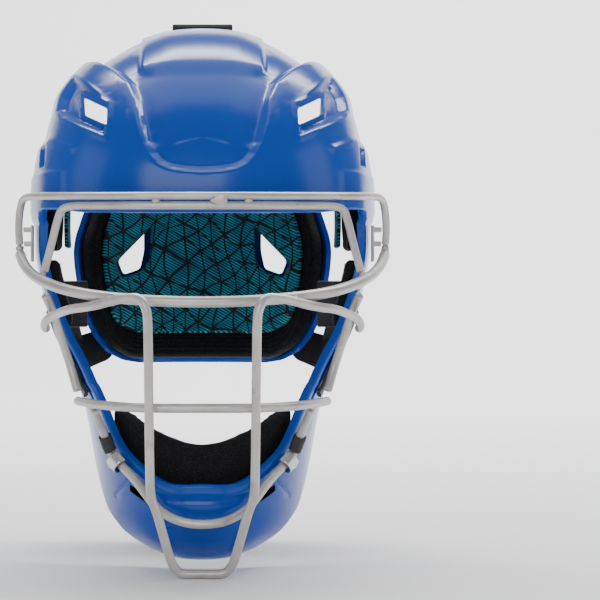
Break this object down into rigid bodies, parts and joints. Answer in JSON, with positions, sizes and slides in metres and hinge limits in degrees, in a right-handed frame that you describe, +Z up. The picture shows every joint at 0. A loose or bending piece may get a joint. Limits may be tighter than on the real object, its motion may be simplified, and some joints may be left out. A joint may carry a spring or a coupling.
{
  "type": "catcher's mask",
  "caption": "Hockey-style catcher's helmet: one-piece shell with a welded wire face cage, foam padding and a hinged back plate on elastic straps.",
  "frame": {"origin": "middle of the head cavity, level with the middle of the wearer's eyes and ears", "axes": "+Z up through the crown, the face looks along -Y, +X to the viewer's right from the front"},
  "size_m": [0.2254, 0.2898, 0.3311],
  "materials": {
    "blue_gloss_shell": "glossy royal blue moulded ABS",
    "black_foam": "matte black closed-cell foam with a fabric skin",
    "teal_liner": "teal knitted liner with black hatching",
    "silver_powder_coat": "satin silver-grey powder coat on steel wire",
    "nickel": "nickel-plated steel",
    "black_rubber": "matte black rubber",
    "black_webbing": "black ribbed elastic webbing",
    "black_patch": "black synthetic leather patch"
  },
  "bodies": {
    "shell": {"anchor_pad_left": "black_rubber", "anchor_pad_right": "black_rubber", "anchor_rivet_left": "nickel", "anchor_rivet_right": "nickel", "brow_pad": "black_foam", "brow_weld_tab": "silver_powder_coat", "cage_bumper_left": "black_rubber", "cage_bumper_right": "black_rubber", "centre_loop_wire": "silver_powder_coat", "cheek_pad_left": "black_foam", "cheek_pad_right": "black_foam", "chin_pad": "black_foam", "clip_screw_left": "nickel", "clip_screw_right": "nickel", "crown_loop": "black_webbing", "crown_pad_left": "black_foam", "crown_pad_right": "black_foam", "ear_anchor_strap_left": "black_webbing", "ear_anchor_strap_right": "black_webbing", "ear_guard_left": "black_rubber", "ear_guard_right": "black_rubber", "eye_bar": "silver_powder_coat", "front_shell": "blue_gloss_shell", "jaw_anchor_strap_left": "black_webbing", "jaw_anchor_strap_right": "black_webbing", "jaw_pad_left": "black_foam", "jaw_pad_right": "black_foam", "jaw_wire": "silver_powder_coat", "lower_brow_bar": "silver_powder_coat", "lower_clip_left": "nickel", "lower_clip_right": "nickel", "mouth_bar": "silver_powder_coat", "side_wire_left": "silver_powder_coat", "side_wire_right": "silver_powder_coat", "temple_liner_left": "teal_liner", "temple_liner_right": "teal_liner", "temple_pad_left": "black_foam", "temple_pad_right": "black_foam", "upper_bracket_left": "silver_powder_coat", "upper_bracket_right": "silver_powder_coat", "upper_brow_bar": "silver_powder_coat", "wire_sleeve_left": "black_rubber", "wire_sleeve_right": "black_rubber"},
    "back_plate_body": {"back_plate": "blue_gloss_shell", "back_plate_foam": "black_foam", "back_plate_liner": "teal_liner", "crown_webbing": "black_webbing", "strap_patch": "black_patch", "strap_leg_left": "black_webbing", "strap_leg_right": "black_webbing", "strap_ring_left": "nickel", "strap_ring_right": "nickel", "ring_strap_left": "black_webbing", "ring_strap_right": "black_webbing"},
    "tail_left": {"strap_tail_left": "black_webbing"},
    "tail_right": {"strap_tail_right": "black_webbing"}
  },
  "joints": [
    {"name": "back_plate_hinge", "type": "hinge", "parent": "shell", "child": "back_plate_body", "pos_m": [0, 0.0455, 0.137], "axis": [1, 0, 0], "range_deg": [0, 15], "stiffness_Nm_per_rad": 3, "springref_deg": -4.58},
    {"name": "strap_tail_left_peel", "type": "hinge", "parent": "back_plate_body", "child": "tail_left", "pos_m": [-0.05896, 0.09593, -0.01504], "axis": [-0.6621, -0.3928, 0.6382], "range_deg": [0, 65]},
    {"name": "strap_tail_right_peel", "type": "hinge", "parent": "back_plate_body", "child": "tail_right", "pos_m": [0.059, 0.0959, -0.01503], "axis": [-0.6599, 0.3999, -0.6361], "range_deg": [0, 65]}
  ]
}
